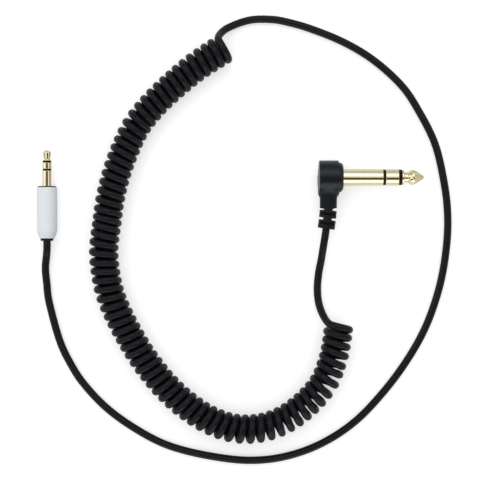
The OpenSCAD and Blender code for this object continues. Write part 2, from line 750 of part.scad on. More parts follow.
// Lugs: washers with tabs that run back along the plug, towards the cord
mini_tab_w = 1;
module mini_lug(r, bore_r, station, tab_side, tab_l) {
    difference() {
        union() {
            disc(r, station[0], station[1]);
            intersection() {
                box([station[0] - tab_l, -mini_tab_w / 2, tab_side * (r - mini_lug_t / 2) - mini_lug_t / 2],
                    [station[1], mini_tab_w / 2, tab_side * (r - mini_lug_t / 2) + mini_lug_t / 2]);
                disc(r, station[0] - tab_l, station[1]);
            }
        }
        disc(bore_r, station[0] - 0.01, station[1] + 1);
    }
}
mini_tip_lug_r = 1.3;
mini_ring_lug_r = 1.55;
module mini_tip_lug() {
    color("silver") at_mini()
        mini_lug(mini_tip_lug_r, mini_radii[0] + mini_fit, [mini_back[6], mini_back[5]], 1, 2.2);
}
module mini_ring_lug() {
    color("silver") at_mini()
        mini_lug(mini_ring_lug_r, mini_radii[2] + mini_fit, [mini_back[4], mini_back[3]], -1, 3.6);
}
mini_well_r = 2.5;
module mini_sleeve_lug() {
    r = mini_well_r - mini_fit;
    strap_y = crimp_r - crimp_wall + 0.05;
    color("silver") at_mini() {
        washer(r, mini_radii[3] + mini_fit, mini_back[2], mini_back[1]);
        box([-mini_cut + mini_fit, r - 0.45, -strap_w / 2], [mini_back[1], r - 0.1, strap_w / 2]);
        box([-mini_cut + mini_fit, strap_y, -strap_w / 2], [-mini_cut + 0.35, r - 0.1, strap_w / 2]);
        box([-mini_crimp[1], strap_y, -strap_w / 2], [-mini_cut + 0.35, strap_y + strap_t, strap_w / 2]);
        washer(crimp_r, crimp_r - crimp_wall, -mini_crimp[1], -mini_crimp[0]);
    }
}
mini_bare = -mini_cut - bare_depth + 0.3;
module mini_core_tip() {
    z = mini_tip_lug_r - mini_lug_t - core_r - core_gap;
    color("white") at_mini() core([
        [mini_bare, -core_offset / 2, core_offset * 0.87], [-mini_cut, -core_offset / 2, core_offset * 0.87],
        [mini_back[6] - 2.4, 0, z], [mini_back[6] - 1.1, 0, z]
    ]);
}
module mini_core_ring() {
    z = -mini_ring_lug_r + mini_lug_t + core_r + core_gap;
    color("red") at_mini() core([
        [mini_bare, -core_offset / 2, -core_offset * 0.87], [-mini_cut, -core_offset / 2, -core_offset * 0.87],
        [mini_back[4] - 3.6, 0, z], [mini_back[4] - 2.4, 0, z]
    ]);
}
module mini_core_ground() {
    y = mini_well_r - mini_fit - 0.45 - core_r - core_gap;
    color("green") at_mini() core([
        [mini_bare, core_offset, 0], [-mini_cut, core_offset, 0],
        [-mini_cut + 0.9, y - 0.3, 0], [-mini_cut + 2, y, 0]
    ]);
}
module mini_inner_mould() {
    color("dimgray") at_mini() difference() {
        disc(barrel_bore_r - mini_fit, -mini_mould_end, mini_back[1]);
        disc(mini_well_r, -mini_cut, mini_back[1] + 1);
        disc(crimp_r + mini_fit, -mini_crimp[1] - mini_fit, 0);
        disc(cord_bore_r, -mini_mould_end - 1, 0);
    }
}
module mini_barrel() {
    rear = -washer_t - barrel_l;
    color([0.9, 0.92, 0.93]) at_mini() difference() {
        revolved(concat(
            [[0, rear], [taper_d / 2, rear], [barrel_r, rear + taper_l]],
            [for (a = [0:15:90])
                [barrel_r - barrel_round * (1 - cos(a)), -washer_t - barrel_round * (1 - sin(a))]],
            [[0, -washer_t]]
        ));
        disc(barrel_bore_r, -mini_mould_end, 0);
        disc(spigot_r + mini_fit, rear - 1, 0);
    }
}
module mini_collar() {
    rear = -washer_t - barrel_l;
    color([0.1, 0.1, 0.11]) at_mini() difference() {
        union() {
            revolved([
                [0, rear - collar_l], [collar_d / 2 - 0.3, rear - collar_l], [collar_d / 2, rear - collar_l + 0.3],
                [collar_d / 2, rear], [0, rear]
            ]);
            disc(spigot_r, rear, -mini_mould_end);
        }
        disc(cord_bore_r, rear - collar_l - 1, 0);
    }
}
module mini_cord_tail() {
    color([0.12, 0.12, 0.13]) at_mini() difference() {
        disc(cord_d / 2, -mini_body_l, -mini_cut);
        disc(cord_d / 2 - jacket_wall, -mini_cut - bare_depth, 0);
    }
}

// ---- Free cord ----
module long_lead() {
    start = [mini_exit[0], mini_exit[1], barrel_r];
    color([0.12, 0.12, 0.13])
        lead(concat([start, start - [0, run_out, 0]], long_route), [[0, -1, 0], climb_dir], lead_step);
}
module curly_cord() {
    echo(str("curly cord: least gap between curls, in mm = ", least_gap()));
    echo(str("curly cord: length, in mm = ", last(lengths(curly_path))));
    color([0.12, 0.12, 0.13]) tube(curly_path, curly_ends, curly_refs, cord_d / 2, curly_sides, 0);
}
module short_lead() {
    end = [jack_exit[0], jack_exit[1], head_r];
    run = run_out * [exit_dir[0], exit_dir[1], 0];
    color([0.12, 0.12, 0.13]) lead(concat(short_route, [end + run, end]), [drop_dir, -run], short_step);
}

jack_tip();
jack_tip_insulator();
jack_ring();
jack_ring_insulator();
jack_sleeve();
jack_sleeve_lug();
jack_rear_insulator();
jack_ring_lug();
jack_back_washer();
jack_tip_lug();
jack_core_tip();
jack_core_ring();
jack_core_ground();
jack_inner_mould();
jack_housing();
strain_relief();
jack_cord_tail();
mini_tip();
mini_tip_insulator();
mini_ring();
mini_ring_insulator();
mini_sleeve();
mini_front_washer();
mini_sleeve_lug();
mini_rear_insulator();
mini_ring_lug();
mini_back_washer();
mini_tip_lug();
mini_core_tip();
mini_core_ring();
mini_core_ground();
mini_inner_mould();
mini_barrel();
mini_collar();
mini_cord_tail();
long_lead();
curly_cord();
short_lead();
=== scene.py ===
"""Looks of the curly instrument cable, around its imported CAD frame.

Sizes in this file are in millimetres in the frame of the part, and become metres when a
mesh is made.
"""

import json
import math

import bpy
import numpy as np
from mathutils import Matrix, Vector


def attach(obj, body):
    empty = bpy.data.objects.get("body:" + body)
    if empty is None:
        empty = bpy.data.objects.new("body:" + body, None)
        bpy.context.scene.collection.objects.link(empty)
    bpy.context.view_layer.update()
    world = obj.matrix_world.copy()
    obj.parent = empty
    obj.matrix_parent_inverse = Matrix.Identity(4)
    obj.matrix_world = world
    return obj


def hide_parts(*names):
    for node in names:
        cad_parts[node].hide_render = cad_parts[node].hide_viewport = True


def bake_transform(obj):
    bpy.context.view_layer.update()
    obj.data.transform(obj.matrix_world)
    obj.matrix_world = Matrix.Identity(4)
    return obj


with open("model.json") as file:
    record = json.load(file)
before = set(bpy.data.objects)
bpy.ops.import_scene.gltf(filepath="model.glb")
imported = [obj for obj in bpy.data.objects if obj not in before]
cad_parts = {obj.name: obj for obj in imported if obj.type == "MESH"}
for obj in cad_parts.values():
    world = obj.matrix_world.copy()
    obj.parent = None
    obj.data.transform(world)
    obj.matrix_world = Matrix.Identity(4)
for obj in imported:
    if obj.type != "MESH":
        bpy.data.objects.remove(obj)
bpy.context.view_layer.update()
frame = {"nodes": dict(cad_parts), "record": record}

MM = 0.001

# ---------------------------------------------------------------- camera

IMAGE_PX = 488
FOCAL_PX = 1543
SENSOR_W = 36
CAMERA_POS = (5.5, -18.6, 600)

camera_data = bpy.data.cameras.new("camera")
camera_data.sensor_width = SENSOR_W
camera_data.lens = SENSOR_W * FOCAL_PX / IMAGE_PX
camera = bpy.data.objects.new("camera", camera_data)
camera.location = [c * MM for c in CAMERA_POS]
bpy.context.scene.collection.objects.link(camera)
bpy.context.scene.camera = camera

# ---------------------------------------------------------------- meshes

# Angles between faces, in degrees, above which an edge is shaded sharp
EDGE_SHARP = 35
TUBE_SHARP = 60
# A radius below this lies on the axis
ON_AXIS = 1e-6
# Largest share of a side that the rounding of one corner takes
MOST_CUT = 0.49
# Sides of a turned piece, and of one whose reflections show most
LATHE_SIDES = 96
FINE_SIDES = 128


def make(name, verts, faces, material, sharp=EDGE_SHARP):
    """A smooth-shaded mesh object from points in millimetres."""
    mesh = bpy.data.meshes.new(name)
    mesh.from_pydata((np.asarray(verts, float) * MM).tolist(), [], faces)
    mesh.validate()
    mesh.shade_smooth()
    if sharp:
        mesh.set_sharp_from_angle(angle=math.radians(sharp))
    mesh.materials.append(material)
    obj = bpy.data.objects.new(name, mesh)
    bpy.context.scene.collection.objects.link(obj)
    return obj


def dress(obj, body, slot, *nodes):
    """obj rides on a body and stands for CAD nodes."""
    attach(obj, body)
    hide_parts(*nodes)


def rounded(points, steps=5):
    """A closed outline of (x, r) or (x, r, rounding) points, with its corners rounded."""
    out = []
    n = len(points)
    for i, p in enumerate(points):
        here = np.array(p[:2], float)
        if len(p) < 3:
            out.append(tuple(here))
            continue
        a = np.array(points[i - 1][:2]) - here
        b = np.array(points[(i + 1) % n][:2]) - here
        la, lb = np.linalg.norm(a), np.linalg.norm(b)
        a, b = a / la, b / lb
        half = math.acos(float(np.clip(a @ b, -1, 1))) / 2
        cut = min(p[2] / math.tan(half), MOST_CUT * la, MOST_CUT * lb)
        radius = cut * math.tan(half)
        centre = here + (a + b) / np.linalg.norm(a + b) * radius / math.sin(half)
        start, end = here + a * cut - centre, here + b * cut - centre
        turn = math.pi - 2 * half
        for k in range(steps + 1):
            t = k / steps
            w = (math.sin((1 - t) * turn) * start + math.sin(t * turn) * end) / math.sin(turn)
            out.append(tuple(centre + w))
    return out


def held(outline, reach=0.04):
    """The outline with a point near each end of its long edges, which keeps their shading flat."""
    out = []
    for i, a in enumerate(outline):
        a, b = np.array(a), np.array(outline[(i + 1) % len(outline)])
        out.append(tuple(a))
        length = np.linalg.norm(b - a)
        if length > 5 * reach:
            out += [tuple(a + (b - a) * t) for t in (reach / length, 1 - reach / length)]
    return out


def lathe_mesh(profile, sides):
    """Points and faces of a closed outline of (x, r) turned about the X axis."""
    verts, faces, rings = [], [], []
    for x, r in profile:
        if r < ON_AXIS:
            rings.append([len(verts)])
            verts.append((x, 0, 0))
        else:
            rings.append(list(range(len(verts), len(verts) + sides)))
            for k in range(sides):
                w = 2 * math.pi * k / sides
                verts.append((x, r * math.cos(w), r * math.sin(w)))
    for i, a in enumerate(rings):
        b = rings[(i + 1) % len(rings)]
        if len(a) == 1 and len(b) == 1:
            continue
        for k in range(sides):
            j = (k + 1) % sides
            if len(a) == 1:
                faces.append((a[0], b[k], b[j]))
            elif len(b) == 1:
                faces.append((a[k], b[0], a[j]))
            else:
                faces.append((a[k], b[k], b[j], a[j]))
    return np.array(verts, float), faces


def lathe(name, place, profile, material, sides=LATHE_SIDES):
    """A turned piece from a closed outline, put in its place by a function."""
    verts, faces = lathe_mesh(held(rounded(profile)), sides)
    return make(name, place(verts), faces, material)


# How the points of a surface settle on it: in so many rounds, with slopes taken over this share
# of the grid's step, and none taken to be flatter than the least slope
SETTLE_ROUNDS = 6
SLOPE_REACH = 0.05
LEAST_SLOPE = 0.5


def surface(f, low, high, step):
    """Points and faces of the surface where f is 0, inside a box: a quad for each crossed
    edge of a grid, with its points then moved onto the surface."""
    axes = [np.arange(a, b + step, step) for a, b in zip(low, high)]
    grid = np.stack(np.meshgrid(*axes, indexing="ij"), -1)
    value = f(grid.reshape(-1, 3)).reshape(grid.shape[:3])
    inside = value < 0
    corner = [(i, j, k) for i in (0, 1) for j in (0, 1) for k in (0, 1)]
    nx, ny, nz = (s - 1 for s in inside.shape)

    def part(a, c):
        return a[c[0]:c[0] + nx, c[1]:c[1] + ny, c[2]:c[2] + nz]

    # A cell that the surface crosses holds one point, at the mean of its edges' crossings
    count = sum(part(inside, c).astype(int) for c in corner)
    active = (count > 0) & (count < 8)
    index = -np.ones(active.shape, int)
    index[active] = np.arange(active.sum())
    total = np.zeros((*active.shape, 3))
    hits = np.zeros(active.shape)
    for axis in range(3):
        for c in corner:
            if c[axis]:
                continue
            d = list(c)
            d[axis] = 1
            va, vb = part(value, c), part(value, d)
            crossed = (va < 0) != (vb < 0)
            t = np.where(crossed, va / np.where(crossed, va - vb, 1), 0)
            point = np.array(c, float) + np.zeros((*t.shape, 3))
            point[..., axis] = t
            total += point * crossed[..., None]
            hits += crossed
    where = np.argwhere(active)
    verts = np.array(low) + (where + total[active] / hits[active][:, None]) * step

    # An edge of the grid that the surface crosses has a quad between the four cells around it
    quads = []
    for axis in range(3):
        u, v = (axis + 1) % 3, (axis + 2) % 3
        a = np.take(inside, range(inside.shape[axis] - 1), axis)
        b = np.take(inside, range(1, inside.shape[axis]), axis)
        e = np.argwhere(a != b)
        whole = (e[:, u] > 0) & (e[:, v] > 0)
        whole &= (e[:, u] < index.shape[u]) & (e[:, v] < index.shape[v])
        e = e[whole]
        ring = []
        for du, dv in ((1, 1), (0, 1), (0, 0), (1, 0)):
            q = e.copy()
            q[:, u] -= du
            q[:, v] -= dv
            ring.append(index[q[:, 0], q[:, 1], q[:, 2]])
        ring = np.stack(ring, 1)
        flip = ~a[e[:, 0], e[:, 1], e[:, 2]]
        ring[flip] = ring[flip][:, ::-1]
        quads.append(ring)

    h = step * SLOPE_REACH
    for _ in range(SETTLE_ROUNDS):
        g = np.stack([f(verts + h * n) - f(verts - h * n) for n in np.eye(3)], 1) / (2 * h)
        d = f(verts)
        move = -d[:, None] * g / np.maximum((g * g).sum(1), LEAST_SLOPE ** 2)[:, None]
        verts = verts + np.clip(move, -step, step)
    return verts, np.concatenate(quads).tolist()


def smooth_union(a, b, k):
    """The union of two signed distances, with a fillet over a width of k."""
    h = np.clip(0.5 + 0.5 * (b - a) / k, 0, 1)
    return b + (a - b) * h - k * h * (1 - h)


def outline_distance(x, y, outline):
    """Signed distance from points to a closed outline, less than 0 inside."""
    d = np.full(x.shape, np.inf)
    inside = np.zeros(x.shape, bool)
    n = len(outline)
    for i in range(n):
        ax, ay = outline[i]
        bx, by = outline[(i + 1) % n]
        ex, ey = bx - ax, by - ay
        wx, wy = x - ax, y - ay
        t = np.clip((wx * ex + wy * ey) / (ex * ex + ey * ey), 0, 1)
        d = np.minimum(d, (wx - t * ex) ** 2 + (wy - t * ey) ** 2)
        if ay != by:
            inside ^= ((ay > y) != (by > y)) & (x < ex * (y - ay) / ey + ax)
    return np.where(inside, -1, 1) * np.sqrt(d)


def rounded_box(p, half, r):
    """Signed distance to a box at the origin with its half sizes, its edges rounded by r."""
    q = np.abs(p) - (np.array(half) - r)
    return np.linalg.norm(np.maximum(q, 0), axis=-1) + np.minimum(q.max(-1), 0) - r


def rounded_rod(across, along, radius, half, r):
    """Signed distance to a round rod of a half length, its rims rounded by r."""
    q = np.stack([across - radius + r, np.abs(along) - half + r], -1)
    return np.linalg.norm(np.maximum(q, 0), axis=-1) + np.minimum(q.max(-1), 0) - r


# ---------------------------------------------------------------- materials

# Height of a material's grain, in metres
GRAIN_DEPTH = 0.00005
# How much finer the unevenness of the gloss is than that of the colour
GLOSS_SCALE = 2.3
# Values of the noise at which the colour is darkest and lightest
NOISE_LOW, NOISE_HIGH = 0.3, 0.7
# Octaves of the noise in colour and gloss, and in the grain
BROAD_DETAIL, GRAIN_DETAIL = 3.0, 2.0


def material(name, color, rough, metallic=0.0, tint=0.0, scale=2000.0, grain=0.0,
             grain_scale=6000.0, rough_range=0.05, stretch=(1, 1, 1), specular=0.5,
             sheen=(1, 1, 1), matte=None):
    """A procedural material: uneven colour and gloss, and a fine grain in the surface.
    matte is two places along Y, and the roughness added and the specular left at the second."""
    m = bpy.data.materials.new(name)
    m.use_nodes = True
    nodes, links = m.node_tree.nodes, m.node_tree.links
    nodes.clear()
    out = nodes.new("ShaderNodeOutputMaterial")
    shader = nodes.new("ShaderNodeBsdfPrincipled")
    links.new(shader.outputs[0], out.inputs["Surface"])
    shader.inputs["Metallic"].default_value = metallic
    shader.inputs["Specular IOR Level"].default_value = specular
    shader.inputs["Specular Tint"].default_value = (*sheen, 1)
    coords = nodes.new("ShaderNodeTexCoord")
    mapping = nodes.new("ShaderNodeMapping")
    mapping.inputs["Scale"].default_value = stretch
    links.new(coords.outputs["Object"], mapping.inputs["Vector"])

    def noise(size, detail=BROAD_DETAIL):
        n = nodes.new("ShaderNodeTexNoise")
        n.inputs["Scale"].default_value = size
        n.inputs["Detail"].default_value = detail
        links.new(mapping.outputs[0], n.inputs["Vector"])
        return n

    broad = noise(scale)
    ramp = nodes.new("ShaderNodeValToRGB")
    ramp.color_ramp.elements[0].position = NOISE_LOW
    ramp.color_ramp.elements[1].position = NOISE_HIGH
    ramp.color_ramp.elements[0].color = [*[c * (1 - tint) for c in color], 1]
    ramp.color_ramp.elements[1].color = [*[min(1, c * (1 + tint)) for c in color], 1]
    links.new(broad.outputs["Fac"], ramp.inputs["Fac"])
    links.new(ramp.outputs["Color"], shader.inputs["Base Color"])
    gloss = nodes.new("ShaderNodeMapRange")
    gloss.inputs["To Min"].default_value = rough - rough_range
    gloss.inputs["To Max"].default_value = rough + rough_range
    links.new(noise(scale * GLOSS_SCALE).outputs["Fac"], gloss.inputs["Value"])
    roughness = gloss.outputs["Result"]
    if matte:
        # Duller from one place along Y to another: rougher, and with less specular
        start, end, more, least = matte
        place = nodes.new("ShaderNodeSeparateXYZ")
        links.new(coords.outputs["Object"], place.inputs[0])

        def fade(a, b):
            n = nodes.new("ShaderNodeMapRange")
            n.inputs["From Min"].default_value = start * MM
            n.inputs["From Max"].default_value = end * MM
            n.inputs["To Min"].default_value = a
            n.inputs["To Max"].default_value = b
            links.new(place.outputs["Y"], n.inputs["Value"])
            return n.outputs["Result"]

        total = nodes.new("ShaderNodeMath")
        links.new(roughness, total.inputs[0])
        links.new(fade(0, more), total.inputs[1])
        roughness = total.outputs[0]
        links.new(fade(specular, least), shader.inputs["Specular IOR Level"])
    links.new(roughness, shader.inputs["Roughness"])
    if grain:
        bump = nodes.new("ShaderNodeBump")
        bump.inputs["Strength"].default_value = grain
        bump.inputs["Distance"].default_value = GRAIN_DEPTH
        links.new(noise(grain_scale, GRAIN_DETAIL).outputs["Fac"], bump.inputs["Height"])
        links.new(bump.outputs["Normal"], shader.inputs["Normal"])
    return m


# Scale of the finest grain
FINE = 9000

CORD = material("cord_jacket", (0.0024, 0.0030, 0.0056), 0.36, tint=0.12, scale=900, grain=0.3,
                grain_scale=FINE, specular=0.22)
RELIEF = material("relief_rubber", (0.0060, 0.0068, 0.0082), 0.45, tint=0.10, scale=700,
                  grain=0.35, grain_scale=FINE, specular=0.16)
# The head of the housing is glossier than its neck
HOUSING = material("black_housing", (0.0020, 0.0042, 0.0065), 0.27, tint=0.08, scale=500,
                   grain=0.2, grain_scale=7000, specular=0.34, sheen=(0.9, 0.96, 1),
                   matte=(2.5, -0.5, 0.2, 0.2))
# Gold keeps fine rings from the lathe: its grain is drawn out around the plug
GOLD = (0.91, 0.82, 0.58)
GOLD_X = material("gold_jack", GOLD, 0.08, 1.0, tint=0.03, scale=300, grain=0.15,
                  grain_scale=900, stretch=(6, 0.4, 0.4), rough_range=0.03)
GOLD_Y = material("gold_small", GOLD, 0.08, 1.0, tint=0.03, scale=300, grain=0.15,
                  grain_scale=900, stretch=(0.4, 6, 0.4), rough_range=0.03)
BAND = material("contact_insulator", (0.004, 0.0034, 0.0025), 0.4, tint=0.1, grain=0.2,
                specular=0.2, sheen=(1, 0.85, 0.6))
BARREL = material("white_barrel", (0.77, 0.81, 0.84), 0.5, tint=0.012, scale=400, grain=0.25,
                  grain_scale=FINE)
TRIM = material("black_trim", (0.005, 0.005, 0.006), 0.45, tint=0.1, grain=0.3,
                grain_scale=FINE, specular=0.25)
WASHER = material("dark_washer", (0.02, 0.019, 0.018), 0.4, tint=0.1, grain=0.2)
WHITE = material("white_insulator", (0.82, 0.82, 0.79), 0.5, tint=0.02, grain=0.2)
TINNED = material("tinned_lug", (0.74, 0.73, 0.70), 0.25, 1.0, tint=0.05, grain=0.4)
INNER = material("inner_moulding", (0.10, 0.10, 0.105), 0.55, tint=0.05, grain=0.3)
CORE_WHITE = material("core_white", (0.80, 0.80, 0.78), 0.3, tint=0.02, grain=0.1)
CORE_RED = material("core_red", (0.50, 0.02, 0.015), 0.3, tint=0.05, grain=0.1)
CORE_GREEN = material("core_green", (0.02, 0.25, 0.06), 0.3, tint=0.05, grain=0.1)

# ---------------------------------------------------------------- cord

CORD_D = 2.85
# Height of the axis of a cord that lies on the surface
LIE = CORD_D / 2
COIL_D = 11.4
COIL_R = COIL_D / 2 - CORD_D / 2
# The cord joins the first curl above its outer side, and leaves the last one over its top,
# on the inner side. Angles along the curls are in degrees
CURLS = 73
COIL_ENTRY = 45
COIL_EXIT = 135
COIL_ANGLE = CURLS * 360 + COIL_EXIT
# How far the first curls lean along the axis and how much wider they are, over so many curls
START_LEAN = 0.3
START_LOOSE = 0.3
LOOSE_TURNS = 10
# How far the curls in the bend near the jack lean back above their outer side, and the curls
# from where that lean is greatest to the last one, over which it fades
BEND_LEAN = 1
LEAN_TURNS = 9

# Where the cord leaves its two plugs. It runs straight out of each, and leaves the jack as the
# strain relief leans, which is by a kink at its first slot and a bend over the rest
JACK_EXIT = (37.1, -12.7, 6.5)
MINI_EXIT = (-70.6, -17.4, 3.95)
RUN_OUT = 3
RELIEF_KINK = 5
RELIEF_BEND = 3
EXIT_LEAN = math.radians(RELIEF_KINK + RELIEF_BEND)
EXIT_DIR = np.array([-math.sin(EXIT_LEAN), -math.cos(EXIT_LEAN), 0])

LONG_ROUTE = [
    MINI_EXIT, (MINI_EXIT[0], MINI_EXIT[1] - RUN_OUT, MINI_EXIT[2]),
    (-71, -23.5, 2.6), (-71.5, -28, 1.7), (-71, -34, LIE), (-70, -41.5, LIE),
    (-66, -56, LIE), (-61.5, -65.5, LIE), (-56.5, -73, LIE), (-48, -82, LIE),
    (-37, -90, LIE), (-24.5, -96.5, LIE), (-9.5, -100.5, LIE), (7, -102.5, LIE),
    (21.5, -101, LIE), (35.5, -96, LIE), (48.5, -87.5, LIE), (60, -75.5, LIE),
    (69.5, -62.5, LIE), (76.5, -49.5, LIE), (81.5, -34.5, LIE), (84, -20, LIE),
    (84.5, -7, LIE), (83, 6, LIE), (79.5, 20.5, LIE), (73, 33.5, LIE),
    (66.5, 43, LIE), (56, 52.5, LIE), (44.5, 59.5, LIE), (31, 65, LIE),
    (20, 68, LIE), (14, 68.6, LIE), (12.5, 68.6, LIE),
]
CLIMB_ROUTE = [
    (12.5, 68.6, LIE), (11, 68.6, LIE), (8, 68.3, LIE), (4.5, 67.4, LIE), (1, 66, 1.7),
    (-1.6, 64.5, 3), (-3.4, 62.7, 5), (-4.3, 60.9, 7.3),
]
COIL_ROUTE = [
    (-1.9, 56.9), (-12.5, 50), (-20.5, 43.5), (-28.5, 36), (-35.5, 27.5),
    (-40, 18.5), (-43.5, 9), (-46, -1), (-47.2, -9.5), (-48.5, -20),
    (-48, -28.5), (-46, -38), (-42, -47.5), (-36.5, -57.5), (-31.5, -65),
    (-25, -73), (-17.5, -80), (-8.5, -86), (1.5, -89.5), (11.5, -89.5),
    (20.5, -86.5), (29, -80.5), (36, -72.5), (39.5, -64), (41, -57.5),
    (42, -50),
]
DROP_ROUTE = [
    (37.4, -48.4, 6.6), (36, -46, 4.2), (35, -43.4, 2.3), (34.4, -41, LIE), (34, -38, LIE),
]
SHORT_ROUTE = [
    (34, -38, LIE), (34, -34.5, LIE), (34.5, -29.5, 1.7), (35.4, -24.5, 3.2), (36.1, -19.5, 5.4),
    tuple(np.array(JACK_EXIT) + RUN_OUT * EXIT_DIR), JACK_EXIT,
]

# Steps of the smooth curve from one point of a route to the next, and rings a curl
AXIS_STEPS = 16
LONG_STEPS = 12
SHORT_STEPS = 10
END_STEPS = 8
CURL_RINGS = 32
# The climb and the drop take their direction at the curls from a point on them this far in
ONWARD = 45
# Added to the cord's radius, so that its tube covers the solids' facets
CORD_COVER = 0.04
CORD_SIDES = 20


def curve(route, steps, first=0, last=None):
    """Points on the smooth curve through a route, between two of its points."""
    p = np.array(route, float)
    p = np.vstack([2 * p[0] - p[1], p, 2 * p[-1] - p[-2]])
    last = len(route) - 1 if last is None else last
    out = []
    for i in range(first, last):
        a, b, c, d = p[i:i + 4]
        for k in range(steps):
            t = k / steps
            out.append(0.5 * (2 * b + (c - a) * t + (2 * a - 5 * b + 4 * c - d) * t * t
                              + (3 * b - a - 3 * c + d) * t ** 3))
    out.append(p[last + 1])
    return np.array(out)


def runs(points):
    """The length along a line from its start to each of its points."""
    return np.concatenate([[0], np.cumsum(np.linalg.norm(np.diff(points, axis=0), axis=1))])


def directions(points):
    d = np.gradient(points, axis=0)
    return d / np.linalg.norm(d, axis=1)[:, None]


# The curls are evenly spaced along the inner side of the bend, where they lie closest
coil_axis = curve(COIL_ROUTE, AXIS_STEPS)
coil_way = directions(coil_axis)
coil_side = np.stack([coil_way[:, 1], -coil_way[:, 0]], 1)
coil_run = runs(coil_axis - COIL_R * coil_side)


def curl(angle):
    """A point on the curls: from the outer side, over the top, to the inner side. The first
    curls are a little wider, and lean along the axis. Those in the bend near the jack lean
    back above their outer side."""
    along = coil_run[-1] * angle / COIL_ANGLE
    c = np.array([np.interp(along, coil_run, coil_axis[:, i]) for i in (0, 1)])
    s = np.array([np.interp(along, coil_run, coil_side[:, i]) for i in (0, 1)])
    s /= np.linalg.norm(s)
    w = math.radians(angle)
    loose = max(0, 1 - angle / (360 * LOOSE_TURNS))
    r = COIL_R + START_LOOSE * loose
    bent = 1 - min(1, abs((COIL_ANGLE - angle) / 360 / LEAN_TURNS - 1))
    back = BEND_LEAN * math.sin(math.pi / 2 * bent) ** 2 * math.sin(w) * (1 + math.cos(w)) / 2
    lean = START_LEAN * loose * math.cos(w) - back
    lean = lean * np.array([-s[1], s[0]])
    return (*(c + lean + r * math.cos(w) * s), r + CORD_D / 2 + r * math.sin(w))


first_ring, last_ring = (angle * CURL_RINGS // 360 for angle in (COIL_ENTRY, COIL_ANGLE))
coil_points = np.array([curl(k * 360 / CURL_RINGS) for k in range(first_ring, last_ring + 1)])
climb = curve(CLIMB_ROUTE + [curl(COIL_ENTRY), curl(COIL_ENTRY + ONWARD)], END_STEPS,
              last=len(CLIMB_ROUTE))
drop = curve([curl(COIL_ANGLE - ONWARD), curl(COIL_ANGLE)] + DROP_ROUTE, END_STEPS, first=1)
cord_line = np.vstack([curve(LONG_ROUTE, LONG_STEPS)[:-1], climb[:-1], coil_points[:-1],
                       drop[:-1], curve(SHORT_ROUTE, SHORT_STEPS)])


def tube(line, radius, sides):
    """Points and faces of a round tube with closed ends, without twist."""
    way = directions(line)
    a = np.cross(way[0], (0.0, 0.0, 1.0))
    verts = []
    for p, d in zip(line, way):
        a = a - (a @ d) * d
        a /= np.linalg.norm(a)
        b = np.cross(d, a)
        for k in range(sides):
            w = 2 * math.pi * k / sides
            verts.append(p + radius * (math.cos(w) * a + math.sin(w) * b))
    last = (len(line) - 1) * sides
    faces = []
    for start in range(0, last, sides):
        for k in range(sides):
            j = (k + 1) % sides
            faces.append((start + k, start + j, start + sides + j, start + sides + k))
    faces.append(tuple(reversed(range(sides))))
    faces.append(tuple(range(last, last + sides)))
    return verts, faces


cord = make("cord", *tube(cord_line, CORD_D / 2 + CORD_COVER, CORD_SIDES), CORD, TUBE_SHARP)
dress(cord, "cable", "cord_jacket", "long_lead", "curly_cord", "short_lead")

# ---------------------------------------------------------------- contacts of both plugs

# How far the sleeve steps in where it goes into its housing
SLEEVE_STEP = 0.06


def stack_radii(rod, wall, gap):
    """Radii of the nested tubes: rod, tip insulation, ring tube, ring insulation."""
    return np.cumsum([rod] + 3 * [gap + wall])


def front_stations(sleeve, band, ring, tip_band, tip):
    """Front ends of the sleeve, its insulator, the ring, its insulator and the tip."""
    return np.cumsum([sleeve, band, ring, tip_band, tip])


def back_stations(wall, flange, lug, washer):
    """Places behind the front wall: flange, sleeve lug, insulator, ring lug, back washer, tip
    lug, and the back of the tip lug."""
    return -np.cumsum([wall, flange, lug, washer, lug, washer, lug])


def headed(head_r, head, stem_r, stem_end, bore_r, edge):
    """Outline of a contact: a head that shows, and a stem inside the next tube."""
    return [(stem_end, bore_r), (stem_end, stem_r), (head[0], stem_r), (head[0], head_r, edge),
            (head[1], head_r, edge), (head[1], bore_r)]


def rod_outline(radii, front, back, rivet_r, rivet_t, edge):
    """Outline of the rod that carries the tip, from the rivet at its end to the tip's back."""
    end = back[6] - rivet_t
    return [(end, 0), (end, rivet_r, edge), (back[6], rivet_r), (back[6], radii[0]),
            (front[3], radii[0])]


def contacts(plug, place, gold, sides, front, back, radii, gap, r, edge, root_edge, band_r,
             band_edge, flange_r, flange_edge):
    """The sleeve, the ring and the two insulators of a plug. r is the radius of the gold that
    shows, and band_r that of the insulators. The edges are the roundings of the rims."""
    bore_r = radii[3] + gap
    lathe(plug + "_sleeve_gold", place, [
        (back[1], bore_r), (back[1], flange_r, flange_edge), (back[0], flange_r, flange_edge),
        (back[0], r - SLEEVE_STEP), (0, r - SLEEVE_STEP), (0, r, root_edge),
        (front[0], r, edge), (front[0], bore_r),
    ], gold, sides)
    lathe(plug + "_ring_insulator_band", place,
          headed(band_r, front[0:2], radii[3], back[2], radii[2] + gap, band_edge), BAND)
    lathe(plug + "_ring_gold", place,
          headed(r, front[1:3], radii[2], back[4], radii[1] + gap, edge), gold, sides)
    lathe(plug + "_tip_insulator_band", place,
          headed(band_r, front[2:4], radii[1], back[4], radii[0] + gap, band_edge), BAND)


# ---------------------------------------------------------------- jack

# Where the jack's axis crosses the neck's, which follows from the cord's exit and the relief
JACK_POS = np.array([37.9461, 7.0511, 6.5])
HEAD_R = 6.5
HEAD_BACK = 3.55
DOME_H = 0.45
DOME_STEPS = 8
HEAD_FRONT = 3.9
NOSE_L = 1.8
SHOULDER = HEAD_FRONT + NOSE_L
NOSE_R = 5.7
NOSE_ROUND = 1.5
NECK_R = 3.3
NECK_END = -11.9
